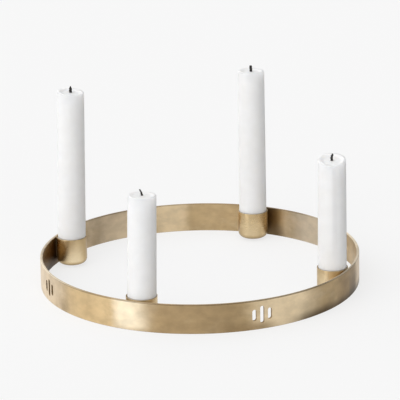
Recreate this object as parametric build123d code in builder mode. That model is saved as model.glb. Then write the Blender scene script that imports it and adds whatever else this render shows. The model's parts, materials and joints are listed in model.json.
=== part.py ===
from build123d import *

import os
from dataclasses import dataclass
from math import cos, degrees, radians, sin, sqrt, tan

# Advent candle ring: a rolled brass band that stands on the table, four drawn cups brazed
# to its inner face, and in each cup a stick candle that has been lit.
# Millimetres, +Z up. The origin is the middle of the ring, on the table.
# A turn is an angle about Z in degrees: the right cup is at 0 and the back cup at 90.

# Band: a flat strip rolled into a hoop
ring_diameter = 250.0
band_thickness = 2.0
band_height = 23.0
band_edge_bevel = 0.35

# Slots pierced through the band: a long one between two short ones, midway between cups
slot_width = 3.3
long_slot_length = 13.5
short_slot_length = 8.8
slot_pitch = 6.3

# Candles: sticks with a bevelled foot, burnt to different lengths
candle_diameter = 22.0
candle_foot_bevel = 4.2
right_candle_length = 107.8
back_candle_length = 139.5
left_candle_length = 140.9
front_candle_length = 100.4

# Melted tops: a shallow dish inside a lip
right_dish_depth = 1.8
back_dish_depth = 1.5
left_dish_depth = 1.5
front_dish_depth = 0.7
lip_width = 1.5
lip_bevel = 0.6
dish_flare = 50

# Wicks: cotton through the whole candle, charred where they stand free
wick_diameter = 1.7
wick_clearance = 0.05
right_wick_free = 6.3
back_wick_free = 5.7
left_wick_free = 5.9
front_wick_free = 5.4

# Cups: drawn from thin sheet, open at the top, just clear of the table
cup_wall = 0.5
cup_height = 22.0
cup_lift = 1.4
cup_seat_depth = 0.1
candle_clearance = 0.5
foot_ease = 0.3
cup_corner_flats = 3

# Brazed seams: a fillet of filler on each side of a cup's seat
seam_fillet_radius = 0.5
seam_end_margin = 0.8

# Every cut runs past the faces that it goes through by this much
overrun = 1.0

# Sizes that follow from those above
ring_radius = ring_diameter / 2
band_inner_radius = ring_radius - band_thickness
candle_radius = candle_diameter / 2
wick_radius = wick_diameter / 2
wick_bore_radius = wick_radius + wick_clearance
cup_inner_radius = candle_radius + candle_clearance
cup_radius = cup_inner_radius + cup_wall
cup_circle_radius = band_inner_radius - cup_radius + cup_seat_depth
cup_floor_radius = candle_foot_bevel - foot_ease
cup_floor_top = cup_lift + cup_wall
cup_rim_top = cup_lift + cup_height

up = Vector(0, 0, 1)


@dataclass
class Place:
    """One cup and its candle. Lean, slope and bend are each degrees and a turn to head for."""

    side: str
    turn: float
    length: float
    lean: tuple
    dish_depth: float
    slope: tuple
    wick_free: float
    bend: tuple


places = [
    Place("right", 0, right_candle_length, (0, 0), right_dish_depth, (11, -67), right_wick_free, (16, 23)),
    Place("back", 90, back_candle_length, (0, 0), back_dish_depth, (3, 60), back_wick_free, (4, 203)),
    Place("left", 180, left_candle_length, (1.3, 23), left_dish_depth, (3, 23), left_wick_free, (3, 23)),
    Place("front", 270, front_candle_length, (1.4, 23), front_dish_depth, (2, 113), front_wick_free, (38, 203)),
]
slot_group_turns = [45, 135, 225, 315]


def level(turn):
    """A level unit vector at this turn."""
    return Vector(cos(radians(turn)), sin(radians(turn)), 0)


def tilted(tilt):
    """The upward unit vector, tipped by the tilt's degrees towards its turn."""
    angle, turn = tilt
    return up * cos(radians(angle)) + level(turn) * sin(radians(angle))


def stem_plane(foot, stem, turn):
    """A plane through the stem line at foot: y runs up the stem and x heads for the turn."""
    heading = level(turn)
    side = (heading - stem * heading.dot(stem)).normalized()
    return Plane(origin=foot, x_dir=side, z_dir=side.cross(stem))


def slot_plane(turn):
    """A plane just inside the band at this turn, facing outward, with x upright."""
    start = level(turn) * (band_inner_radius - overrun) + up * (band_height / 2)
    return Plane(origin=start, x_dir=up, z_dir=level(turn))


def candle_foot(place):
    """Where the candle stands: a leaning one is centred at half depth, on the edge of its foot."""
    angle, turn = place.lean
    drift = (cup_rim_top - cup_floor_top) * tan(radians(angle)) / 2
    rise = (candle_radius - candle_foot_bevel) * sin(radians(angle))
    return level(place.turn) * cup_circle_radius - level(turn) * drift + up * (cup_floor_top + rise)


def cup_corner(wall_radius, floor_height, corner_radius):
    """Points round a cup's bottom corner, from floor to wall, with flats between them."""
    steps = [radians(90 * step / cup_corner_flats) for step in range(cup_corner_flats + 1)]
    centre_x = wall_radius - corner_radius
    centre_y = floor_height + corner_radius
    return [(centre_x + corner_radius * sin(a), centre_y - corner_radius * cos(a)) for a in steps]


def finish(part, name):
    """Label a finished piece and write it out."""
    part.label = name
    export_step(part, f"parts/{name}.step")


os.makedirs("parts", exist_ok=True)

# Band: rolled, its long edges eased, then the slots through it
slot_step = degrees(slot_pitch / ring_radius)
with BuildPart() as ring_band:
    with BuildSketch():
        Circle(ring_radius)
        Circle(band_inner_radius, mode=Mode.SUBTRACT)
    extrude(amount=band_height)
    chamfer(ring_band.edges().filter_by(GeomType.CIRCLE), band_edge_bevel)
    for slot_length, steps in ((long_slot_length, [0]), (short_slot_length, [-1, 1])):
        turns = [turn + step * slot_step for turn in slot_group_turns for step in steps]
        with BuildSketch(*[slot_plane(turn) for turn in turns]):
            SlotOverall(slot_length, slot_width)
        extrude(amount=band_thickness + 2 * overrun, mode=Mode.SUBTRACT)
finish(ring_band.part, "ring_band")

# The fillet circle of a brazed seam touches the cup from outside and the band from inside,
# seen from above with the cup on the x axis
seam_x = (
    (band_inner_radius - seam_fillet_radius) ** 2
    - (cup_radius + seam_fillet_radius) ** 2
    + cup_circle_radius**2
) / (2 * cup_circle_radius)
seam_y = sqrt((band_inner_radius - seam_fillet_radius) ** 2 - seam_x**2)
seam_centre = Vector(seam_x, seam_y)
cup_centre = Vector(cup_circle_radius, 0)
touch_on_band = seam_centre.normalized() * band_inner_radius
touch_on_cup = cup_centre + (seam_centre - cup_centre).normalized() * cup_radius
seam_bottom = cup_floor_top + cup_floor_radius + seam_end_margin
seam_top = band_height - seam_end_margin

for place in places:
    outward = level(place.turn)
    cup_foot = outward * cup_circle_radius

    # Cup: a turned thin wall with a rounded floor, its back shaped to sit on the band
    with BuildPart() as cup:
        with BuildSketch(stem_plane(cup_foot, up, place.turn)):
            with BuildLine():
                Polyline(
                    (0, cup_lift),
                    *cup_corner(cup_radius, cup_lift, cup_floor_radius + cup_wall),
                    (cup_radius, cup_rim_top),
                    (cup_inner_radius, cup_rim_top),
                    *reversed(cup_corner(cup_inner_radius, cup_floor_top, cup_floor_radius)),
                    (0, cup_floor_top),
                    close=True,
                )
            make_face()
        revolve(axis=Axis(cup_foot, up))
        with BuildSketch():
            Circle(ring_radius)
            Circle(band_inner_radius, mode=Mode.SUBTRACT)
        extrude(amount=cup_rim_top + overrun, mode=Mode.SUBTRACT)
    finish(cup.part, f"candle_cup_{place.side}")

    # Seam: filler drawn into the narrowing gap on each side of the seat
    with BuildPart() as seam:
        with BuildSketch(Plane(origin=up * seam_bottom, x_dir=outward, z_dir=up)):
            with BuildLine():
                Polyline(
                    cup_centre,
                    Vector(ring_radius, 0),
                    touch_on_band.normalized() * ring_radius,
                    touch_on_band,
                    touch_on_cup,
                    close=True,
                )
            make_face()
            Circle(band_inner_radius, mode=Mode.INTERSECT)
            with Locations(cup_centre):
                Circle(cup_radius, mode=Mode.SUBTRACT)
            with Locations(seam_centre):
                Circle(seam_fillet_radius, mode=Mode.SUBTRACT)
            mirror(about=Plane.XZ)
        extrude(amount=seam_top - seam_bottom)
    finish(seam.part, f"braze_seam_{place.side}")

    # Candle: a stick with a bevelled foot and a wick bore, its top sloped and dished as the wax melted
    foot = candle_foot(place)
    stem = tilted(place.lean)
    melt_plane = Plane(origin=foot + stem * place.length, z_dir=tilted(place.slope))
    blank_length = place.length + candle_diameter
    with BuildPart() as candle:
        with BuildSketch(stem_plane(foot, stem, place.turn)) as candle_section:
            with BuildLine():
                Polyline(
                    (wick_bore_radius, 0),
                    (candle_radius, 0),
                    (candle_radius, blank_length),
                    (wick_bore_radius, blank_length),
                    close=True,
                )
            make_face()
            chamfer(candle_section.vertices().group_by(Axis.Y)[0].sort_by(Axis.X)[-1], candle_foot_bevel)
        revolve(axis=Axis(foot, stem))
        split(bisect_by=melt_plane, keep=Keep.BOTTOM)
        lip = candle.faces().filter_by(GeomType.PLANE).sort_by(Axis.Z)[-1]
        chamfer(lip.outer_wire().edges(), lip_bevel)
        with BuildSketch(melt_plane):
            Circle(candle_radius - lip_width)
        extrude(amount=-place.dish_depth, taper=dish_flare, mode=Mode.SUBTRACT)
    finish(candle.part, f"candle_{place.side}")

    # Wick: straight through the wax, then bent over where it stands free
    bend_angle, bend_turn = place.bend
    with BuildPart() as wick:
        with BuildLine(stem_plane(foot, stem, bend_turn)):
            core = Line((0, 0), (0, place.length - place.dish_depth))
            JernArc(core @ 1, core % 1, place.wick_free / radians(bend_angle), -bend_angle)
        with BuildSketch(Plane(origin=foot, z_dir=stem)):
            Circle(wick_radius)
        sweep()
    finish(wick.part, f"wick_{place.side}")
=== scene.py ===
import json
from dataclasses import dataclass
from math import atan2, cos, degrees, exp, radians, sin, tau

import bpy
from mathutils import Matrix, Vector, noise


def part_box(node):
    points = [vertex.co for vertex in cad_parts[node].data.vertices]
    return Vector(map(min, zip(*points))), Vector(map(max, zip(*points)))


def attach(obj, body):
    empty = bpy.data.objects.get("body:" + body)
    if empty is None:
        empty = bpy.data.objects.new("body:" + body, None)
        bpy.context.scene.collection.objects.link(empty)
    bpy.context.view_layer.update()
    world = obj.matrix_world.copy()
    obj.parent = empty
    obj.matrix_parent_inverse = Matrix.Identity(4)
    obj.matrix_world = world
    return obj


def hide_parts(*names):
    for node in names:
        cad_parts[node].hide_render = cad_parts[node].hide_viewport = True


# Looks of the candle ring: aged brushed brass, white wax that has been lit, charred wicks.
# Metres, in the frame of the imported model: +Z up, the middle of the ring at the origin.
# A turn is an angle about Z in degrees: the right cup is at 0 and the back cup at 90.

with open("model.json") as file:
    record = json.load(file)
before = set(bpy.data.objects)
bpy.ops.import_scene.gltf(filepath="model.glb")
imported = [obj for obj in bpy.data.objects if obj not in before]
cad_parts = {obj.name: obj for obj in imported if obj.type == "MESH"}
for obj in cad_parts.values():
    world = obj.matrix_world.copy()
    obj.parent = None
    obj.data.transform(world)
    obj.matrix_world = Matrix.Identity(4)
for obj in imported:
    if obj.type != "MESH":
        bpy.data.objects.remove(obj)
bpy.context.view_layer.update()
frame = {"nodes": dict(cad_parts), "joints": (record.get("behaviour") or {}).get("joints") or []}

MM = 0.001
CUP_TURN = {"right": 0, "back": 90, "left": 180, "front": 270}
SIDES = list(CUP_TURN)

# Sizes read from the frame
ring_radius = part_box("ring_band")[1].x
band_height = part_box("ring_band")[1].z
cup_low, cup_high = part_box("candle_cup_right")
cup_radius = (cup_high.y - cup_low.y) / 2
cup_circle_radius = cup_low.x + cup_radius
cup_bottom = cup_low.z
cup_top = cup_high.z
band_inner_radius = cup_high.x
band_middle_radius = (ring_radius + band_inner_radius) / 2

# Cups: thin drawn sheet with a round bottom corner and an eased rim
CUP_WALL = 0.5 * MM
CUP_CORNER = 4.4 * MM
CUP_RIM_ROUND = 0.24 * MM
CUP_SEGMENTS = 144
CORNER_STEPS = 10
RIM_STEPS = 8

# Painted light on the cups: each mark is a turn, half its width in degrees and its strength, a painted
# highlight above zero and painted shade below it. A cup has painted shade at its foot too, less and less
# up to this height.
CUP_PAINTED_LIGHT = {
    "right": [(-78, 75, 1.0)],
    "back": [(-80, 60, 0.35), (8, 45, -0.7), (-150, 45, -0.6)],
    "left": [(-56, 55, 1.0), (-145, 50, 1.0), (14, 40, -0.8)],
    "front": [(-60, 75, 0.3)],
}
CUP_SHADED_FOOT = 5.0 * MM

# Candles: a slight taper, a bevelled foot, a soft shoulder and a lip round the melted top
CANDLE_RADIUS = 11.12 * MM
CANDLE_TAPER = 0.003
CANDLE_FOOT_FLAT = 6.8 * MM
CANDLE_FOOT_BEVEL = 4.2 * MM
CANDLE_SHOULDER = 1.0 * MM
CANDLE_LIP = 0.9 * MM
WICK_BORE = 0.9 * MM
FOOT_MARGIN = 0.01 * MM

# Melted tops: the side follows the top's slope from this share of its length up, the dish falls off
# this steeply inside the lip, and wax creeps up the wick from this share of the way in
SLOPE_START_SHARE = 0.75
DISH_STEEPNESS = 2.2
CREEP_HEIGHT = 0.35 * MM
CREEP_START_SHARE = 0.86

# Rows of points on a candle, with close ones on both sides of the cup's rim
CANDLE_SEGMENTS = 120
BODY_ROWS = 48
ROW_GAP = 0.05 * MM
SEAT_ROWS = [offset * MM for offset in (-1.0, -0.5, -0.2, 0.1, 0.4, 0.7, 1.0, 1.3)]
SHOULDER_STEPS = 10
DISH_STEPS = 16

# Uneven wax: the top swells, and slow waves and long flats on the side grow over a short rise from
# just above the cup. Each has a scale of noise round the candle and, on the side, one along it.
# The seeds give each candle its own noise.
SWELL_ROUND = 1.4
BODY_WAVE = 0.05 * MM
BODY_WAVE_ROUND = 1.1
BODY_WAVE_ALONG = 28
FACET_WAVE = 0.09 * MM
FACET_ROUND = 3.2
FACET_ALONG = 6
WAVE_RISE = 10 * MM
SEED_STEP = 7.3
SEED_PLACE = (2.1, 0.7)

# Run wax: a notch in the lip and a bulge below it
NOTCH_WIDTH = 9
NOTCH_REACH = 3 * MM
RUN_LENGTH = 7 * MM
RUN_BULGE = 0.3 * MM

# Ridge below the notch: degrees of its rise, its step down and its tail, the share of its height left
# after the step, and the heights above the cup between which it grows
RIDGE_HEIGHT = 0.95 * MM
RIDGE_RISE = 60
RIDGE_STEP = 18
RIDGE_LEFT_SHARE = 0.3
RIDGE_TAIL = 100
RIDGE_START = 3 * MM
RIDGE_END = 22 * MM

# Dark marks on the wax: soot round the wick, and painted shade at the cup's rim that moves with the candle
SOOT_REACH = 2.2 * MM
SOOT_STRENGTH = 0.12
SEAT_SHADE_FALL = 2.0 * MM
SEAT_SHADE_RISE = 0.7 * MM
SEAT_SHADE_STRENGTH = 0.6

# Clear wax: light gets further in at the edge of the top, and somewhat further in and above the cup
CLEAR_DEPTH = 14 * MM
CLEAR_EDGE = 1.0 * MM
SEAT_CLEAR = 0.4
SEAT_CLEAR_REACH = 12 * MM
BODY_SCATTER = 2.0 * MM
BODY_WEIGHT = 0.35
CLEAR_SCATTER = 60.0 * MM
CLEAR_WEIGHT = 1.0

# Wicks: three strands laid round each other, thicker and charred where they stand free
STRAND_COUNT = 3
STRAND_RADIUS = 0.45 * MM
STRAND_OFFSET = 0.40 * MM
STRAND_SIDES = 8
STRAND_PITCH = 5.5 * MM
STRAND_STEP = 0.4 * MM
STRAND_ROUGHNESS = 0.12
STRAND_NOISE = 1700
STRAND_NOISE_SHIFT = 5.0
GIRTH_RISE = 0.6 * MM
CHAR_BELOW = 0.3 * MM
CHAR_BLEND = 0.5 * MM


@dataclass
class Candle:
    """One candle's top and wick, with angles in degrees.

    Slope and bend are each an angle and a turn to head for. Wave is how uneven the top is. Sway is how far
    the free wick swings off its bend and back, and girth is how thick it is there against in the wax. A tip
    is how long the wick's point is and how much of its width is gone at the end. A notch is a turn and how
    deep the lip has run out there.
    """

    side: str
    length: float
    slope: tuple
    dish_depth: float
    wave: float
    wick_free: float
    bend: tuple
    sway: float
    girth: float
    tip: tuple
    notch: tuple = ()

    @property
    def top_radius(self):
        """The radius that the taper leaves at the top."""
        return CANDLE_RADIUS - CANDLE_TAPER * self.length

    @property
    def crest(self):
        """The radius of the lip's highest line."""
        return self.top_radius - CANDLE_LIP

    @property
    def wick_sunk(self):
        """The length of wick from the foot to the bottom of the dish."""
        return self.length - self.dish_depth


CANDLES = [
    Candle(
        "right", length=107.8 * MM, slope=(11, -67), dish_depth=1.3 * MM, wave=0.25 * MM, wick_free=5.8 * MM,
        bend=(16, 23), sway=-9, girth=1.25, tip=(1.5 * MM, 0.35), notch=(-69, 0.8 * MM),
    ),
    Candle(
        "back", length=139.5 * MM, slope=(3, 60), dish_depth=1.0 * MM, wave=0.30 * MM, wick_free=5.2 * MM,
        bend=(4, 203), sway=0, girth=1.50, tip=(1.0 * MM, 0.15),
    ),
    Candle(
        "left", length=140.9 * MM, slope=(3, 23), dish_depth=1.0 * MM, wave=0.30 * MM, wick_free=5.4 * MM,
        bend=(3, 23), sway=0, girth=1.50, tip=(1.8 * MM, 0.65),
    ),
    Candle(
        "front", length=100.4 * MM, slope=(2, 113), dish_depth=0.7 * MM, wave=0.25 * MM, wick_free=5.4 * MM,
        bend=(38, 203), sway=0, girth=1.15, tip=(5.0 * MM, 0.45),
    ),
]

# Camera: where the photograph was taken from, seen from the middle of the ring
CAMERA_DISTANCE = 2.300
CAMERA_AZIMUTH = 23.44
CAMERA_ELEVATION = 19.118
CAMERA_PAN = 0.0281
CAMERA_TILT = 1.551
CAMERA_ROLL = 1.161
CAMERA_REACH = 50
FOCAL_PIXELS = 2923.6
IMAGE_PIXELS = 400
SENSOR_MM = 36.0

# Studio: what the surroundings send from each side, low down, higher up and from the top.
# A bearing is degrees from the camera, to the right, and the camera is in the middle of each ramp.
RAMP_MIDDLE = 0.5
LOW_LEVELS = [
    (-180, 0.8), (-155, 1.55), (-130, 1.35), (-108, 1.1), (-88, 1.6), (-70, 1.8), (-56, 3.5), (-44, 2.75),
    (-33, 0.9), (-22, 0.72), (-5, 0.58), (15, 0.53), (33, 1.0), (50, 1.4), (66, 1.27), (84, 0.38),
    (105, 0.06), (130, 0.04), (155, 0.24),
]
HIGH_LEVELS = [
    (-160, 1.33), (-120, 0.85), (-80, 1.32), (-45, 2.36), (-10, 2.45), (30, 0.7), (70, 0.05), (110, 0.0),
    (150, 0.96),
]
TOP_LEVEL = 0.78
LOW_TO_HIGH = (sin(radians(12)), sin(radians(38)))
HIGH_TO_TOP = (sin(radians(50)), sin(radians(75)))

# Floor: its colour as seen and as it lights the object, the brightness that falling light gives it,
# the brightness that it shows, the share of that which is its own glow, and the glow that this takes
FLOOR_COLOUR = 0.92
FLOOR_BOUNCE = 0.55
FLOOR_LIT = 0.876
FLOOR_SHOWN = 0.924
FLOOR_GLOW_SHARE = 0.78
FLOOR_GLOW = (FLOOR_SHOWN - FLOOR_LIT * (1 - FLOOR_GLOW_SHARE)) / FLOOR_GLOW_SHARE
FLOOR_SIZE = 12.0


@dataclass
class Grain:
    """A pattern of noise: its scale, detail and roughness, and how it is stretched along the axes."""

    scale: float
    detail: float
    roughness: float
    stretch: tuple = ()


@dataclass
class Brass:
    """A brass finish: tones, roughness, how far the brushing stretches its gleam, and patterns.

    Clouds of this size are shaded and bloom pale, the more so with more mottling, and streaks are how
    strongly the brushed lines show.
    """

    name: str
    tone: tuple
    shade: tuple
    pale: tuple
    roughness: float
    anisotropy: float
    cloud_size: float
    streaks: float
    mottling: float


BAND_FINISH = Brass(
    "band_brass", tone=(0.64, 0.475, 0.265), shade=(0.45, 0.32, 0.165), pale=(0.80, 0.64, 0.41),
    roughness=0.43, anisotropy=0.93, cloud_size=45 * MM, streaks=0.25, mottling=0.11,
)
# The cups' shade tone is also their painted shade, and their pale tone their painted highlights
CUP_FINISH = Brass(
    "cup_brass", tone=(0.65, 0.495, 0.28), shade=(0.30, 0.21, 0.105), pale=(1.0, 0.84, 0.57),
    roughness=0.31, anisotropy=0.55, cloud_size=22 * MM, streaks=0.02, mottling=0.04,
)
BRAZE_FINISH = Brass(
    "braze_filler", tone=(0.17, 0.12, 0.065), shade=(0.10, 0.07, 0.036), pale=(0.24, 0.18, 0.105),
    roughness=0.5, anisotropy=0.0, cloud_size=6 * MM, streaks=0.1, mottling=0.1,
)

# Patterns in brass: all but the lines are scaled by a finish's clouds. A range is the part of a
# pattern's values over which it takes effect.
NOISE_MIDDLE = 0.5
MIDDLE_RANGE = (0.3, 0.7)
CLOUDS = Grain(1, 5, 0.6)
CLOUD_RANGE = (0.30, 0.62)
CLOUD_SHADE = 10
CLOUD_ROUGHNESS = 0.04
BLOOMS = Grain(2.6, 4, 0.55, (1, 1, 1.8))
BLOOM_RANGE = (0.52, 0.74)
BLOOM_PALENESS = 5.5
MOTTLE = Grain(4.0, 5, 0.55, (1, 1, 1.6))
MOTTLE_LIFT = 0.6
LINES = Grain(1, 3, 0.7, (45, 45, 2600))
LINE_RANGE = (0.35, 0.75)
LINE_DEPTH = 0.05 * MM
LINE_ROUGH_RANGE = (0.3, 0.8)
LINE_ROUGHNESS = (-0.03, 0.04)
BRUSHED_TURN = 0.25

# Brass tones that lie on part of the band: tarnish, wear and heat tint, and painted highlights and shade
WEAR_AND_HIGHLIGHT_BRASS = (0.82, 0.67, 0.48)
HEAT_TINT_AND_HIGHLIGHT_BRASS = (0.86, 0.745, 0.555)
GOLDEN_BRASS = (0.78, 0.58, 0.32)
GREYED_BRASS = (0.64, 0.55, 0.43)
TARNISH_AND_SHADE_BRASS = (0.38, 0.262, 0.135)
DEEP_SHADE_BRASS = (0.06, 0.04, 0.022)
DARK_REFLECTION_BRASS = (0.31, 0.195, 0.08)
HIGHLIGHT_BRASS = (0.95, 0.78, 0.53)
# Painted highlight and painted shade for the band's long edges
LIT_EDGE_BRASS = (0.80, 0.72, 0.57)
SHADED_EDGE_BRASS = (0.28, 0.20, 0.11)
# Painted shade for the slots' walls
SLOT_SHADE_BRASS = (0.28, 0.175, 0.075)

# Faces of the band: each is the way from the middle of the strip
OUTSIDE = 1
INSIDE = -1


@dataclass
class Patch:
    """A tone on the band's outside or inside; many are painted highlights and painted shade.

    Its turn is that of its middle, and it is gone at half its width in degrees. A fade is the two shares
    of the band's height between which it goes from nothing to its full strength.
    """

    face: int
    turn: float
    half_width: float
    tone: tuple
    strength: float
    fade: tuple = ()


# Most patches on the front half of the outside and the back half of the inside are painted light and shade:
# pale ones painted highlights and reflections, the heat tint under the front cup partly a painted highlight,
# and dark ones painted shade towards the bottom edge, at the right end, beside the back cup and left inside.
# The pale one inside the front is painted light for the left cup to mirror; those on the back of the outside
# are tarnish, wear and heat tint.
TONE_AND_LIGHT_PATCHES = [
    Patch(OUTSIDE, -140, 29, WEAR_AND_HIGHLIGHT_BRASS, 0.80),
    Patch(OUTSIDE, -111, 15, GOLDEN_BRASS, 0.75),
    Patch(OUTSIDE, -91, 9.2, HEAT_TINT_AND_HIGHLIGHT_BRASS, 0.95),
    Patch(OUTSIDE, -88, 14, TARNISH_AND_SHADE_BRASS, 0.50, (0.20, 0.0)),
    Patch(OUTSIDE, -69, 24, TARNISH_AND_SHADE_BRASS, 0.78),
    Patch(OUTSIDE, -36, 17, HIGHLIGHT_BRASS, 0.75),
    Patch(OUTSIDE, -50, 11, TARNISH_AND_SHADE_BRASS, 0.80, (0.45, 0.05)),
    Patch(OUTSIDE, -34, 16, DEEP_SHADE_BRASS, 0.18, (0.35, 0.0)),
    Patch(OUTSIDE, -16, 12, TARNISH_AND_SHADE_BRASS, 0.30),
    Patch(OUTSIDE, 0.5, 11, TARNISH_AND_SHADE_BRASS, 0.90),
    Patch(OUTSIDE, 15, 9, WEAR_AND_HIGHLIGHT_BRASS, 0.90),
    Patch(OUTSIDE, -4, 32, DEEP_SHADE_BRASS, 0.75, (0.35, 0.0)),
    Patch(OUTSIDE, 4, 5, DEEP_SHADE_BRASS, 0.50, (1.0, 0.2)),
    Patch(OUTSIDE, -21, 10, DEEP_SHADE_BRASS, 0.22, (0.8, 0.1)),
    Patch(OUTSIDE, 45, 22, WEAR_AND_HIGHLIGHT_BRASS, 0.80),
    Patch(OUTSIDE, 68, 16, TARNISH_AND_SHADE_BRASS, 0.60),
    Patch(OUTSIDE, 92, 12, HEAT_TINT_AND_HIGHLIGHT_BRASS, 0.85),
    Patch(OUTSIDE, 140, 24, WEAR_AND_HIGHLIGHT_BRASS, 0.80),
    Patch(OUTSIDE, 165, 14, TARNISH_AND_SHADE_BRASS, 0.55),
    Patch(INSIDE, 195, 22, DARK_REFLECTION_BRASS, 0.94),
    Patch(INSIDE, 195, 22, DEEP_SHADE_BRASS, 0.85, (0.5, 0.1)),
    Patch(INSIDE, 150, 22, GREYED_BRASS, 0.55),
    Patch(INSIDE, 107, 20, TARNISH_AND_SHADE_BRASS, 0.42),
    Patch(INSIDE, 86.5, 6.5, DEEP_SHADE_BRASS, 0.62),
    Patch(INSIDE, 86, 10, DEEP_SHADE_BRASS, 0.65, (0.6, 0.1)),
    Patch(INSIDE, 80, 10, TARNISH_AND_SHADE_BRASS, 0.35),
    Patch(INSIDE, 128, 11, HIGHLIGHT_BRASS, 0.58),
    Patch(INSIDE, 64, 18, GREYED_BRASS, 0.80),
    Patch(INSIDE, -60, 30, HIGHLIGHT_BRASS, 0.50),
]

# Patches: the share of half the width that has the full strength, how far clouds shift the border,
# and how far to each side of the strip's middle a face begins
PATCH_CORE_SHARE = 0.3
PATCH_RAGGEDNESS = 2
FACE_BLEND = 0.3 * MM

# Long edges of the band: painted highlights on the flats towards one turn and away from it and painted shade
# between, and a thin painted dark line below the top one, most of all towards another turn
FLAT_RANGE = (0.3, 0.6)
FLAT_STRENGTH = 0.6
PALE_EDGE_TURN = 23
PALE_EDGE_RANGE = (0.6, 0.95)
EDGE_LINE = 1.0 * MM
EDGE_LINE_TURN = -75
EDGE_LINE_RANGE = (0.5, 0.95)
EDGE_LINE_STRENGTH = 0.65
EDGE_LINE_LEAST = 0.25
OFF_FLAT_RANGE = (0.5, 0.1)

# Walls of the slots, with painted shade on them, and the shares of the band's height over which they stop
# short of its edges
SLOT_WALL_RANGE = (0.7, 0.3)
SLOT_WALL_STRENGTH = 0.85
SLOT_CLEAR_SHARES = (0.05, 0.10)

# Wax: two whites, the brown of its soot and of its painted shade at the cup's rim, and how light goes into
# it and off it
WAX_WHITE = (0.868, 0.866, 0.864)
WAX_PALE = (0.886, 0.885, 0.884)
WAX_SOOT_AND_SHADE = (0.27, 0.215, 0.15)
WAX_MOTTLE = Grain(140, 4, 0.5)
WAX_MOTTLE_RANGE = (0.35, 0.65)
WAX_SCATTER = (1.0, 0.94, 0.86)
WAX_REFRACTION = 1.43
WAX_SHINE = 0.3
WAX_ROUGHNESS = (0.52, 0.65)
RIPPLES = Grain(420, 3, 0.5)
RIPPLE_STRENGTH = 0.02
RIPPLE_DEPTH = 0.1 * MM

# Wick: black char with grey ash on it, and pale cotton below
CHAR_BLACK = (0.022, 0.020, 0.019)
ASH_GREY = (0.085, 0.080, 0.076)
ASH = Grain(900, 4, 0.6)
ASH_RANGE = (0.5, 0.75)
COTTON_SHADE = (0.70, 0.67, 0.60)
COTTON_PALE = (0.82, 0.80, 0.74)
FIBRES = Grain(2600, 3, 0.6)
FIBRE_STRENGTH = 0.5
FIBRE_DEPTH = 0.08 * MM
WICK_ROUGHNESS = (0.8, 0.95)


def level(turn):
    """A level unit vector at this turn."""
    return Vector((cos(radians(turn)), sin(radians(turn)), 0))


def ease(x):
    """A smooth step from 0 to 1."""
    x = min(1, max(0, x))
    return x * x * (3 - 2 * x)


# Meshes

def link(obj):
    """Put an object into the scene."""
    bpy.context.scene.collection.objects.link(obj)
    return obj


def smooth_mesh(name, points, faces):
    """A smooth mesh of these points and faces, in the scene."""
    mesh = bpy.data.meshes.new(name)
    mesh.from_pydata([tuple(p) for p in points], [], faces)
    mesh.shade_smooth()
    return link(bpy.data.objects.new(name, mesh))


def rows_to_mesh(name, rows, loop=False):
    """A smooth mesh from rows of points, each a ring or a single pole, joined row to row."""
    points = []
    starts = []
    for row in rows:
        starts.append(len(points))
        points += row
    count = max(len(row) for row in rows)
    faces = []
    pairs = list(zip(range(len(rows) - 1), range(1, len(rows))))
    if loop:
        pairs.append((len(rows) - 1, 0))
    for a, b in pairs:
        for i in range(count):
            j = (i + 1) % count
            corners = []
            for row, k in ((a, i), (a, j), (b, j), (b, i)):
                index = starts[row] + (k if len(rows[row]) > 1 else 0)
                if index not in corners:
                    corners.append(index)
            faces.append(corners)
    return smooth_mesh(name, points, faces)


def add_marks(obj, name, values):
    """Keep a value at each point of a mesh, for its material to read."""
    layer = obj.data.attributes.new(name, "FLOAT", "POINT")
    layer.data.foreach_set("value", values)


# Node trees

def set_inputs(tree, node, inputs):
    """Set a node's inputs, each to a value or to another node's output."""
    for key, value in inputs.items():
        if isinstance(value, bpy.types.NodeSocket):
            tree.links.new(value, node.inputs[key])
        else:
            node.inputs[key].default_value = value


def add(tree, kind, inputs=None, **settings):
    """A new node with these settings and inputs."""
    node = tree.nodes.new(kind)
    for key, value in settings.items():
        setattr(node, key, value)
    set_inputs(tree, node, inputs or {})
    return node


def material(name):
    """An empty material: its node tree, its shader and its object coordinates."""
    made = bpy.data.materials.new(name)
    made.use_nodes = True
    tree = made.node_tree
    tree.nodes.clear()
    shader = add(tree, "ShaderNodeBsdfPrincipled")
    add(tree, "ShaderNodeOutputMaterial", {"Surface": shader.outputs["BSDF"]})
    place = add(tree, "ShaderNodeTexCoord").outputs["Object"]
    return made, tree, shader, place


def marks(tree, name):
    """The values that a mesh keeps at its points under this name."""
    return add(tree, "ShaderNodeAttribute", attribute_name=name).outputs["Fac"]


def noise_at(tree, place, grain, size=1):
    """Noise between 0 and 1 in this grain, scaled by a size."""
    if grain.stretch:
        place = add(tree, "ShaderNodeMapping", {"Vector": place, "Scale": grain.stretch}).outputs["Vector"]
    inputs = {"Scale": grain.scale / size, "Detail": grain.detail, "Roughness": grain.roughness}
    return add(tree, "ShaderNodeTexNoise", {"Vector": place, **inputs}).outputs["Fac"]


def spread(tree, value, low, high, to_low=0.0, to_high=1.0):
    """The value's range from low to high, eased onto another range."""
    inputs = {"Value": value, "From Min": low, "From Max": high, "To Min": to_low, "To Max": to_high}
    return add(tree, "ShaderNodeMapRange", inputs, interpolation_type="SMOOTHSTEP").outputs["Result"]


def mixed(tree, factor, a, b, blend="MIX"):
    """Two colours mixed by a factor."""
    node = add(tree, "ShaderNodeMix", {"Factor": factor}, data_type="RGBA", blend_type=blend)
    for key, value in ((6, a), (7, b)):
        is_output = isinstance(value, bpy.types.NodeSocket)
        set_inputs(tree, node, {key: value if is_output else (*value, 1)})
    return node.outputs[2]


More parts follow.
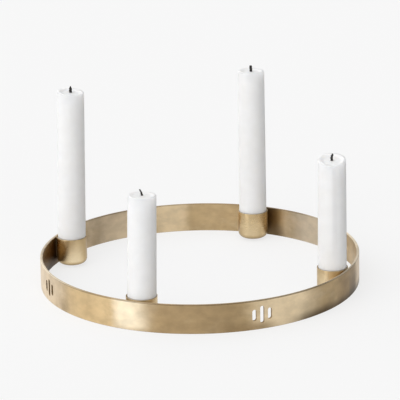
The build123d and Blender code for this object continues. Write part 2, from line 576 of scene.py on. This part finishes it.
def combined(tree, operation, a, b=0.0):
    """Two values combined by an operation."""
    return add(tree, "ShaderNodeMath", {0: a, 1: b}, operation=operation).outputs["Value"]


def vector_math(tree, operation, *vectors):
    """The outputs of an operation on vectors."""
    return add(tree, "ShaderNodeVectorMath", dict(enumerate(vectors)), operation=operation).outputs


def dot(tree, a, b):
    """How far two directions agree."""
    return vector_math(tree, "DOT_PRODUCT", a, b)["Value"]


def bump(tree, height, strength, depth):
    """The surface's normal, raised by a pattern."""
    inputs = {"Height": height, "Strength": strength, "Distance": depth}
    return add(tree, "ShaderNodeBump", inputs).outputs["Normal"]


# Materials

def patch_tones_and_light(tree, colour, clouds, spoke, out, height):
    """Lay each patch's tone, painted light and shade among them, on its face of the band, with a ragged
    border.
    """
    ragged = combined(tree, "SUBTRACT", clouds, NOISE_MIDDLE)
    for patch in TONE_AND_LIGHT_PATCHES:
        edge = cos(radians(patch.half_width))
        core = cos(radians(PATCH_CORE_SHARE * patch.half_width))
        shift = combined(tree, "MULTIPLY", ragged, PATCH_RAGGEDNESS * (core - edge))
        near = combined(tree, "ADD", dot(tree, spoke, level(patch.turn)), shift)
        near = spread(tree, near, edge, core)
        if patch.fade:
            none, full = (share * band_height for share in patch.fade)
            near = combined(tree, "MULTIPLY", near, spread(tree, height, none, full))
        way = patch.face * FACE_BLEND
        face = spread(tree, out, band_middle_radius - way, band_middle_radius + way, 0, patch.strength)
        colour = mixed(tree, combined(tree, "MULTIPLY", near, face), colour, patch.tone)
    return colour


def edge_light_and_shade(tree, colour, normal, spoke, height):
    """Paint light and shade on the long edges: the flat top and bottom, and a thin dark line beside the top
    one.
    """
    flat = combined(tree, "ABSOLUTE", dot(tree, normal, (0, 0, 1)))
    flat = spread(tree, flat, *FLAT_RANGE, 0, FLAT_STRENGTH)
    pale = combined(tree, "ABSOLUTE", dot(tree, spoke, level(PALE_EDGE_TURN)))
    pale = spread(tree, pale, *PALE_EDGE_RANGE)
    colour = mixed(tree, flat, colour, mixed(tree, pale, SHADED_EDGE_BRASS, LIT_EDGE_BRASS))
    line = spread(tree, height, band_height - EDGE_LINE, band_height - EDGE_LINE / 2, 0, EDGE_LINE_STRENGTH)
    near = dot(tree, spoke, level(EDGE_LINE_TURN))
    line = combined(tree, "MULTIPLY", line, spread(tree, near, *EDGE_LINE_RANGE, EDGE_LINE_LEAST))
    line = combined(tree, "MULTIPLY", line, spread(tree, flat, *OFF_FLAT_RANGE))
    return mixed(tree, line, colour, DEEP_SHADE_BRASS)


def slot_shade(tree, colour, normal, spoke, height):
    """Paint shade on the slots' walls: they face neither outward nor inward, and lie clear of the long
    edges.
    """
    wall = combined(tree, "ABSOLUTE", dot(tree, normal, spoke))
    wall = spread(tree, wall, *SLOT_WALL_RANGE, 0, SLOT_WALL_STRENGTH)
    none, full = (share * band_height for share in SLOT_CLEAR_SHARES)
    wall = combined(tree, "MULTIPLY", wall, spread(tree, height, none, full))
    wall = combined(tree, "MULTIPLY", wall, spread(tree, height, band_height - none, band_height - full))
    return mixed(tree, wall, colour, SLOT_SHADE_BRASS)


def band_tones_and_light(tree, place, clouds, colour):
    """Patches of tone all round the band, painted light and shade on its long edges, and painted shade on
    its slot walls.
    """
    level_place = vector_math(tree, "MULTIPLY", place, (1, 1, 0))["Vector"]
    out = vector_math(tree, "LENGTH", level_place)["Value"]
    spoke = vector_math(tree, "NORMALIZE", level_place)["Vector"]
    height = add(tree, "ShaderNodeSeparateXYZ", {0: place}).outputs["Z"]
    normal = add(tree, "ShaderNodeNewGeometry").outputs["Normal"]
    colour = patch_tones_and_light(tree, colour, clouds, spoke, out, height)
    colour = edge_light_and_shade(tree, colour, normal, spoke, height)
    return slot_shade(tree, colour, normal, spoke, height)


def brass_colour(tree, place, finish, clouds, lines, wear_and_light):
    """Shaded clouds, pale blooms and streaks, then the band's tones, a mesh's painted light and shade, a
    mottle.
    """
    mottling = finish.mottling
    blooms = noise_at(tree, place, BLOOMS, finish.cloud_size)
    shaded = spread(tree, clouds, *CLOUD_RANGE, CLOUD_SHADE * mottling, 0)
    bloomed = spread(tree, blooms, *BLOOM_RANGE, 0, BLOOM_PALENESS * mottling)
    streaked = spread(tree, lines, *LINE_RANGE, 0, finish.streaks)
    colour = mixed(tree, shaded, finish.tone, finish.shade)
    colour = mixed(tree, bloomed, colour, finish.pale)
    colour = mixed(tree, streaked, colour, finish.pale)
    if wear_and_light:
        colour = wear_and_light(tree, place, clouds, colour)
    # Painted highlights in the pale tone and painted shade in the shade tone, where a mesh keeps them
    painted_light = marks(tree, "painted_light")
    painted_shade = combined(tree, "MULTIPLY", painted_light, -1.0)
    colour = mixed(tree, combined(tree, "MAXIMUM", painted_light, 0.0), colour, finish.pale)
    colour = mixed(tree, combined(tree, "MAXIMUM", painted_shade, 0.0), colour, finish.shade)
    mottle = noise_at(tree, place, MOTTLE, finish.cloud_size)
    mottle = spread(tree, mottle, *MIDDLE_RANGE, 1 - mottling, 1 + MOTTLE_LIFT * mottling)
    return mixed(tree, 1.0, colour, mottle, "MULTIPLY")


def brass_roughness(tree, finish, clouds, lines):
    """A roughness that is greater in the shaded clouds and on the pale streaks."""
    roughest = finish.roughness + CLOUD_ROUGHNESS
    smoothest = finish.roughness - CLOUD_ROUGHNESS
    of_clouds = spread(tree, clouds, *MIDDLE_RANGE, roughest, smoothest)
    of_lines = spread(tree, lines, *LINE_ROUGH_RANGE, *LINE_ROUGHNESS)
    return combined(tree, "ADD", of_clouds, of_lines)


def brass(finish, wear_and_light=None):
    """Aged brass, brushed along its length."""
    made, tree, shader, place = material(finish.name)
    clouds = noise_at(tree, place, CLOUDS, finish.cloud_size)
    lines = noise_at(tree, place, LINES)
    tangent = add(tree, "ShaderNodeTangent", direction_type="RADIAL", axis="Z")
    set_inputs(tree, shader, {
        "Base Color": brass_colour(tree, place, finish, clouds, lines, wear_and_light),
        "Metallic": 1,
        "Roughness": brass_roughness(tree, finish, clouds, lines),
        "Anisotropic": finish.anisotropy,
        "Anisotropic Rotation": BRUSHED_TURN,
        "Tangent": tangent.outputs["Tangent"],
        "Normal": bump(tree, lines, finish.streaks / 2, LINE_DEPTH),
    })
    return made


def wax():
    """White candle wax: light gets a little way in, and further where it is clear; soot and painted shade
    lie on it.
    """
    made, tree, shader, place = material("candle_wax")
    mottle = noise_at(tree, place, WAX_MOTTLE)
    white = mixed(tree, spread(tree, mottle, *WAX_MOTTLE_RANGE), WAX_WHITE, WAX_PALE)
    clear = marks(tree, "clear")
    set_inputs(tree, shader, {
        # Soot round the wick and painted shade at the cup's rim
        "Base Color": mixed(tree, marks(tree, "soot_and_shade"), white, WAX_SOOT_AND_SHADE),
        "Subsurface Radius": WAX_SCATTER,
        "Subsurface Weight": spread(tree, clear, 0, 1, BODY_WEIGHT, CLEAR_WEIGHT),
        "Subsurface Scale": spread(tree, clear, 0, 1, BODY_SCATTER, CLEAR_SCATTER),
        "IOR": WAX_REFRACTION,
        "Specular IOR Level": WAX_SHINE,
        "Roughness": spread(tree, mottle, *MIDDLE_RANGE, *WAX_ROUGHNESS),
        "Normal": bump(tree, noise_at(tree, place, RIPPLES), RIPPLE_STRENGTH, RIPPLE_DEPTH),
    })
    return made


def wick_cotton():
    """Cotton, charred where it stands free, with a little ash on it."""
    made, tree, shader, place = material("wick_cotton")
    fibres = noise_at(tree, place, FIBRES)
    ash = noise_at(tree, place, ASH)
    burnt = mixed(tree, spread(tree, ash, *ASH_RANGE), CHAR_BLACK, ASH_GREY)
    cotton = mixed(tree, fibres, COTTON_SHADE, COTTON_PALE)
    set_inputs(tree, shader, {
        "Base Color": mixed(tree, marks(tree, "char"), cotton, burnt),
        "Roughness": spread(tree, ash, *MIDDLE_RANGE, *WICK_ROUGHNESS),
        "Normal": bump(tree, fibres, FIBRE_STRENGTH, FIBRE_DEPTH),
    })
    return made


# Pieces

def dress(obj, made, body, slot, *nodes):
    """Give a piece its material and its body, and hide the nodes that it stands for. Its slot is not used.
    """
    obj.data.materials.clear()
    obj.data.materials.append(made)
    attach(obj, body)
    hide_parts(*nodes)


def paint(node, made):
    """Give a CAD node its material."""
    obj = frame["nodes"][node]
    obj.data.materials.clear()
    obj.data.materials.append(made)


def arc(centre, radius, start, end, steps):
    """Points of an arc in a section, radius and height, from start to end degrees."""
    angles = [radians(start + (end - start) * i / steps) for i in range(steps + 1)]
    return [(centre[0] + radius * cos(a), centre[1] + radius * sin(a)) for a in angles]


def cup_section():
    """Half a cup's section, from the middle of its underside round the rim to its floor."""
    inner = cup_radius - CUP_WALL
    inner_corner = CUP_CORNER - CUP_WALL
    floor = cup_bottom + CUP_WALL
    outside = arc((cup_radius - CUP_CORNER, cup_bottom + CUP_CORNER), CUP_CORNER, -90, 0, CORNER_STEPS)
    rim = arc((cup_radius - CUP_WALL / 2, cup_top - CUP_RIM_ROUND), CUP_RIM_ROUND, 0, 180, RIM_STEPS)
    inside = arc((inner - inner_corner, floor + inner_corner), inner_corner, 0, -90, CORNER_STEPS)
    return [(0, cup_bottom), *outside, *rim, *inside, (0, floor)]


def cup_painted_light(side, place):
    """Painted highlight on a cup, or painted shade below zero, at a place seen from its axis on the table.
    """
    out = place.normalized()
    light_and_shade = 0
    for turn, half_width, strength in CUP_PAINTED_LIGHT[side]:
        edge = cos(radians(half_width))
        light_and_shade += strength * ease((out.dot(level(turn)) - edge) / (1 - edge))
    foot = ease((cup_bottom + CUP_SHADED_FOOT - place.z) / CUP_SHADED_FOOT)
    return light_and_shade * (1 - foot) - foot


def make_cup(side, made):
    """A cup turned about its own axis, its back drawn in to lie on the band."""
    centre = level(CUP_TURN[side]) * cup_circle_radius
    rows = []
    for radius, height in cup_section():
        row = []
        for i in range(CUP_SEGMENTS if radius else 1):
            point = centre + level(360 * i / CUP_SEGMENTS) * radius
            reach = min(1, band_inner_radius / point.length)
            row.append(Vector((point.x * reach, point.y * reach, height)))
        rows.append(row)
    cup = rows_to_mesh(f"cup_{side}", rows)
    # Painted highlights and painted shade on the cup, kept at its points
    add_marks(cup, "painted_light", [cup_painted_light(side, point - centre) for row in rows for point in row])
    dress(cup, made, "holder", "cup_brass", f"candle_cup_{side}")


def stem_of(side):
    """The way up a candle: the axis of its own slide."""
    joint = next(j for j in frame["joints"] if j["name"] == f"{side}_candle_lift")
    return Vector(joint["axis"]).normalized()


def foot_of(side, stem):
    """The middle of a candle's foot, from the lowest points of its node."""
    points = [v.co for v in frame["nodes"][f"candle_{side}"].data.vertices]
    lowest = min(p.dot(stem) for p in points)
    foot = [p for p in points if p.dot(stem) < lowest + FOOT_MARGIN]
    low = Vector([min(p[i] for p in foot) for i in range(3)])
    high = Vector([max(p[i] for p in foot) for i in range(3)])
    return (low + high) / 2


def candle_section(candle, rim_height):
    """Half a candle's section, from its foot up the side and over the top to the wick bore.

    Each step is a radius, a height above the foot, and how far it follows the slope of the top.
    """
    length = candle.length
    side_end = length - CANDLE_SHOULDER
    side_length = side_end - CANDLE_FOOT_BEVEL
    section = [(WICK_BORE, 0, 0), (CANDLE_FOOT_FLAT, 0, 0)]
    seat_rows = [rim_height + offset for offset in SEAT_ROWS]
    body_rows = [CANDLE_FOOT_BEVEL + side_length * i / BODY_ROWS for i in range(BODY_ROWS + 1)]
    body_rows = [row for row in body_rows if min(abs(row - seat) for seat in seat_rows) > ROW_GAP]
    for height in sorted(body_rows + seat_rows):
        follow = ease((height / length - SLOPE_START_SHARE) / (1 - SLOPE_START_SHARE))
        section.append((CANDLE_RADIUS - CANDLE_TAPER * height, height, follow))
    for i in range(1, SHOULDER_STEPS + 1):
        angle = radians(90 * i / SHOULDER_STEPS)
        reach = CANDLE_LIP * (1 - cos(angle))
        section.append((candle.top_radius - reach, side_end + CANDLE_SHOULDER * sin(angle), 1))
    for i in range(1, DISH_STEPS + 1):
        share = i / DISH_STEPS
        radius = candle.crest + (WICK_BORE - candle.crest) * share
        sunk = candle.dish_depth * ease(share * DISH_STEEPNESS)
        creep = CREEP_HEIGHT * ease((share - CREEP_START_SHARE) / (1 - CREEP_START_SHARE))
        section.append((radius, length - sunk + creep, 1))
    return section


def ridge(past):
    """The share of a ridge's height this many degrees past its crest: a slow rise, a step, a long tail."""
    if past < 0:
        return max(0, 1 + past / RIDGE_RISE)
    if past < RIDGE_STEP:
        return 1 - (1 - RIDGE_LEFT_SHARE) * past / RIDGE_STEP
    return RIDGE_LEFT_SHARE * max(0, 1 - (past - RIDGE_STEP) / (RIDGE_TAIL - RIDGE_STEP))


def run_wax(candle, turn, radius, height):
    """How far run wax stands out at this place, and how far the lip has sunk there."""
    notch_turn, notch_depth = candle.notch
    past = (turn - notch_turn + 180) % 360 - 180
    near = exp(-(past / NOTCH_WIDTH) ** 2)
    sunk = notch_depth * near * ease((radius - candle.crest + NOTCH_REACH) / NOTCH_REACH)
    grown = ease((height - cup_top - RIDGE_START) / (RIDGE_END - RIDGE_START))
    out = RIDGE_HEIGHT * ridge(past) * grown * (radius / candle.top_radius) ** 2
    if radius > candle.crest + CANDLE_LIP / 2:
        out += RUN_BULGE * near * ease((height - candle.length + RUN_LENGTH) / (RUN_LENGTH / 2))
    return out, sunk


def uneven_wax(candle, turn, radius, height):
    """How far the wax stands out from its round at this place, and how far the top is lifted there."""
    way = level(turn)
    seed = Vector((SIDES.index(candle.side) * SEED_STEP, *SEED_PLACE))
    tilt, heading = candle.slope
    lift = -radius * sin(radians(tilt)) * cos(radians(turn - heading))
    lift += noise.noise(way * SWELL_ROUND + seed) * candle.wave * (radius / candle.top_radius)
    out = noise.noise(way * BODY_WAVE_ROUND + Vector((0, 0, height * BODY_WAVE_ALONG)) + seed) * BODY_WAVE
    out += noise.noise(way * FACET_ROUND + Vector((0, 0, height * FACET_ALONG)) - seed) * FACET_WAVE
    out *= ease((height - cup_top) / WAVE_RISE)
    if candle.notch:
        run_out, sunk = run_wax(candle, turn, radius, height)
        out += run_out
        lift -= sunk
    return out, lift


def stain_and_shade(radius, above_cup, on_top):
    """How dark the wax is made: by soot round the wick, and by painted shade at the rim of the cup."""
    by_wick = ease(1 - (radius - WICK_BORE) / SOOT_REACH) if on_top else 0
    rim_shade = ease((SEAT_SHADE_RISE - above_cup) / SEAT_SHADE_RISE) * ease(1 + above_cup / SEAT_SHADE_FALL)
    return max(SOOT_STRENGTH * by_wick, SEAT_SHADE_STRENGTH * rim_shade)


def clearness(candle, radius, height, above_cup):
    """How clear the wax is: most at the edge of the top, and somewhat in the cup and just above it."""
    below = max(0, candle.length - height) / CLEAR_DEPTH
    at_top = max(0, 1 - below) * ease((radius - candle.crest + CLEAR_EDGE) / CLEAR_EDGE)
    by_cup = SEAT_CLEAR * (1 - ease(above_cup / SEAT_CLEAR_REACH))
    return max(at_top, by_cup)


def make_candle(candle, made):
    """A candle turned about its stem: bevelled foot, tapered body, soft shoulder, dished top, wick bore."""
    stem = stem_of(candle.side)
    foot = foot_of(candle.side, stem)
    turned = Vector((0, 0, 1)).rotation_difference(stem).to_matrix()
    rim_height = cup_top - foot.z
    rows = []
    soot_and_shade = []
    clear = []
    for radius, height, follow in candle_section(candle, rim_height):
        row = []
        for i in range(CANDLE_SEGMENTS):
            turn = 360 * i / CANDLE_SEGMENTS
            out, lift = uneven_wax(candle, turn, radius, height)
            point = level(turn) * (radius + out) + Vector((0, 0, height + lift * follow))
            row.append(foot + turned @ point)
        rows.append(row)
        above_cup = height - rim_height
        # Soot round the wick and painted shade at the cup's rim
        soot_and_shade += [stain_and_shade(radius, above_cup, follow == 1)] * CANDLE_SEGMENTS
        clear += [clearness(candle, radius, height, above_cup)] * CANDLE_SEGMENTS
    obj = rows_to_mesh(f"wax_{candle.side}", rows, loop=True)
    add_marks(obj, "soot_and_shade", soot_and_shade)
    add_marks(obj, "clear", clear)
    dress(obj, made, f"{candle.side}_candle", "candle_wax", f"candle_{candle.side}")


def wick_path(candle, foot, stem):
    """Points along a wick's middle line, straight through the wax and then bent as it burnt."""
    angle, turn = candle.bend
    heading = level(turn)
    side = (heading - stem * heading.dot(stem)).normalized()
    steps = int(candle.wick_sunk / STRAND_STEP)
    points = [foot + stem * (candle.wick_sunk * i / steps) for i in range(steps + 1)]
    steps = int(candle.wick_free / STRAND_STEP)
    for i in range(1, steps + 1):
        share = i / steps
        lean = radians(angle * share + candle.sway * sin(tau * share))
        points.append(points[-1] + (stem * cos(lean) + side * sin(lean)) * (candle.wick_free / steps))
    return points


def strand_rings(candle, path, across, strand):
    """Rings of points along one strand, and how charred each point is."""
    rings = []
    char = []
    travelled = 0
    end = len(path) - strand // 2
    point_length, loss = candle.tip
    angles = [tau * k / STRAND_SIDES for k in range(STRAND_SIDES)]
    for i in range(end):
        along = (path[min(i + 1, len(path) - 1)] - path[max(i - 1, 0)]).normalized()
        x = (across - along * across.dot(along)).normalized()
        y = along.cross(x)
        travelled += (path[i] - path[i - 1]).length if i else 0
        free = travelled - candle.wick_sunk
        left = (end - 1 - i) * STRAND_STEP
        width = 1 - loss * max(0, 1 - left / point_length)
        width *= 1 + (candle.girth - 1) * ease(free / GIRTH_RISE)
        rough = noise.noise(path[i] * STRAND_NOISE + Vector((strand * STRAND_NOISE_SHIFT, 0, 0)))
        radius = STRAND_RADIUS * width * min(1 + STRAND_ROUGHNESS * rough, 1)
        turn = tau * (travelled / STRAND_PITCH + strand / STRAND_COUNT)
        centre = path[i] + (x * cos(turn) + y * sin(turn)) * STRAND_OFFSET * width
        rings.append([centre + (x * cos(a) + y * sin(a)) * radius for a in angles])
        char += [ease((free + CHAR_BELOW) / CHAR_BLEND)] * STRAND_SIDES
    return rings, char


def make_wick(candle, made):
    """Three strands laid round the wick's line, drawn together at the burnt tip."""
    stem = stem_of(candle.side)
    path = wick_path(candle, foot_of(candle.side, stem), stem)
    across = stem.orthogonal().normalized()
    points = []
    faces = []
    char = []
    for strand in range(STRAND_COUNT):
        rings, ring_char = strand_rings(candle, path, across, strand)
        first = len(points)
        last = first + (len(rings) - 1) * STRAND_SIDES
        points += [point for ring in rings for point in ring]
        char += ring_char
        for start in range(first, last, STRAND_SIDES):
            for k in range(STRAND_SIDES):
                a = start + k
                b = start + (k + 1) % STRAND_SIDES
                faces.append((a, b, b + STRAND_SIDES, a + STRAND_SIDES))
        faces.append(tuple(first + k for k in reversed(range(STRAND_SIDES))))
        faces.append(tuple(last + k for k in range(STRAND_SIDES)))
    obj = smooth_mesh(f"braid_{candle.side}", points, faces)
    add_marks(obj, "char", char)
    dress(obj, made, f"{candle.side}_candle", "wick_cotton", f"wick_{candle.side}")


# Stage

def make_floor():
    """A pale floor that keeps the shadow: part of its white is its own, the rest is light that falls on it.

    It is less pale to the light that goes on to the object, and has no glow there.
    """
    made = bpy.data.materials.new("pale_floor")
    made.use_nodes = True
    tree = made.node_tree
    tree.nodes.clear()
    path = add(tree, "ShaderNodeLightPath")
    seen = combined(tree, "MAXIMUM", path.outputs["Is Camera Ray"], path.outputs["Is Glossy Ray"])
    seen = combined(tree, "MAXIMUM", seen, path.outputs["Is Transmission Ray"])
    pale = mixed(tree, seen, (FLOOR_BOUNCE,) * 3, (FLOOR_COLOUR,) * 3)
    diffuse = add(tree, "ShaderNodeBsdfDiffuse", {"Color": pale})
    glow = add(tree, "ShaderNodeEmission", {"Color": (1, 1, 1, 1), "Strength": FLOOR_GLOW})
    share = combined(tree, "MULTIPLY", seen, FLOOR_GLOW_SHARE)
    shader = add(tree, "ShaderNodeMixShader", {0: share, 1: diffuse.outputs[0], 2: glow.outputs[0]})
    add(tree, "ShaderNodeOutputMaterial", {"Surface": shader.outputs[0]})
    half = FLOOR_SIZE / 2
    mesh = bpy.data.meshes.new("floor")
    corners = [(-half, -half, 0), (half, -half, 0), (half, half, 0), (-half, half, 0)]
    mesh.from_pydata(corners, [], [(0, 1, 2, 3)])
    mesh.materials.append(made)
    link(bpy.data.objects.new("floor", mesh))


def bearing_ramp(tree, share, levels):
    """A level that goes evenly from one bearing's value to the next, all the way round."""
    most = max(value for _, value in levels)
    first, first_value = levels[0]
    last, last_value = levels[-1]
    behind = (first_value * (180 - last) + last_value * (180 + first)) / (360 + first - last)
    stops = [(-180, behind), *[stop for stop in levels if stop[0] > -180], (180, behind)]
    ramp = add(tree, "ShaderNodeValToRGB", {0: share})
    ramp.color_ramp.interpolation = "LINEAR"
    elements = ramp.color_ramp.elements
    while len(elements) > 1:
        elements.remove(elements[-1])
    for i, (bearing, value) in enumerate(stops):
        place = RAMP_MIDDLE + bearing / 360
        stop = elements[0] if i == 0 else elements.new(place)
        stop.position = place
        stop.color = (value / most, value / most, value / most, 1)
    return combined(tree, "MULTIPLY", ramp.outputs["Color"], most)


def make_studio(camera_turn):
    """Soft light from all round: strongest from the front left, least from the right and behind it."""
    world = bpy.data.worlds.new("studio")
    world.use_nodes = True
    bpy.context.scene.world = world
    tree = world.node_tree
    tree.nodes.clear()
    seen_way = add(tree, "ShaderNodeTexCoord").outputs["Generated"]
    way = add(tree, "ShaderNodeSeparateXYZ", {0: seen_way}).outputs
    turn = combined(tree, "ARCTAN2", way["Y"], way["X"])
    share = combined(tree, "DIVIDE", combined(tree, "SUBTRACT", turn, radians(camera_turn)), tau)
    share = combined(tree, "FRACT", combined(tree, "ADD", share, 1 + RAMP_MIDDLE))
    low = bearing_ramp(tree, share, LOW_LEVELS)
    high = bearing_ramp(tree, share, HIGH_LEVELS)
    lifted = spread(tree, way["Z"], *LOW_TO_HIGH)
    topped = spread(tree, way["Z"], *HIGH_TO_TOP)
    sides = add(tree, "ShaderNodeMix", {0: lifted, 2: low, 3: high}, data_type="FLOAT").outputs[0]
    light = add(tree, "ShaderNodeMix", {0: topped, 2: sides, 3: TOP_LEVEL}, data_type="FLOAT").outputs[0]
    background = add(tree, "ShaderNodeBackground", {"Color": (1, 1, 1, 1), "Strength": light})
    add(tree, "ShaderNodeOutputWorld", {"Surface": background.outputs[0]})


def make_camera():
    """The camera at the photograph's place, turned a little off the middle of the ring and rolled."""
    azimuth, elevation = radians(CAMERA_AZIMUTH), radians(CAMERA_ELEVATION)
    pan, tilt, roll = radians(CAMERA_PAN), radians(CAMERA_TILT), radians(CAMERA_ROLL)
    back = Vector((sin(azimuth) * cos(elevation), -cos(azimuth) * cos(elevation), sin(elevation)))
    forward = -back
    right = Vector((cos(azimuth), sin(azimuth), 0))
    up = right.cross(forward)
    right, forward = right * cos(pan) - forward * sin(pan), right * sin(pan) + forward * cos(pan)
    up, forward = up * cos(tilt) - forward * sin(tilt), up * sin(tilt) + forward * cos(tilt)
    right, up = right * cos(roll) - up * sin(roll), right * sin(roll) + up * cos(roll)
    data = bpy.data.cameras.new("camera")
    data.sensor_width = SENSOR_MM
    data.lens = FOCAL_PIXELS * SENSOR_MM / IMAGE_PIXELS
    data.clip_end = CAMERA_REACH
    camera = link(bpy.data.objects.new("camera", data))
    turned = Matrix((right, up, -forward)).transposed().to_4x4()
    camera.matrix_world = Matrix.Translation(back * CAMERA_DISTANCE) @ turned
    bpy.context.scene.camera = camera
    return degrees(atan2(back.y, back.x))


band_brass = brass(BAND_FINISH, band_tones_and_light)
cup_brass = brass(CUP_FINISH)
braze_filler = brass(BRAZE_FINISH)
candle_wax = wax()
charred_cotton = wick_cotton()

paint("ring_band", band_brass)
for side in SIDES:
    paint(f"braze_seam_{side}", braze_filler)
    make_cup(side, cup_brass)
for candle in CANDLES:
    make_candle(candle, candle_wax)
    make_wick(candle, charred_cotton)

make_floor()
make_studio(make_camera())
bpy.context.scene.view_settings.view_transform = "Standard"
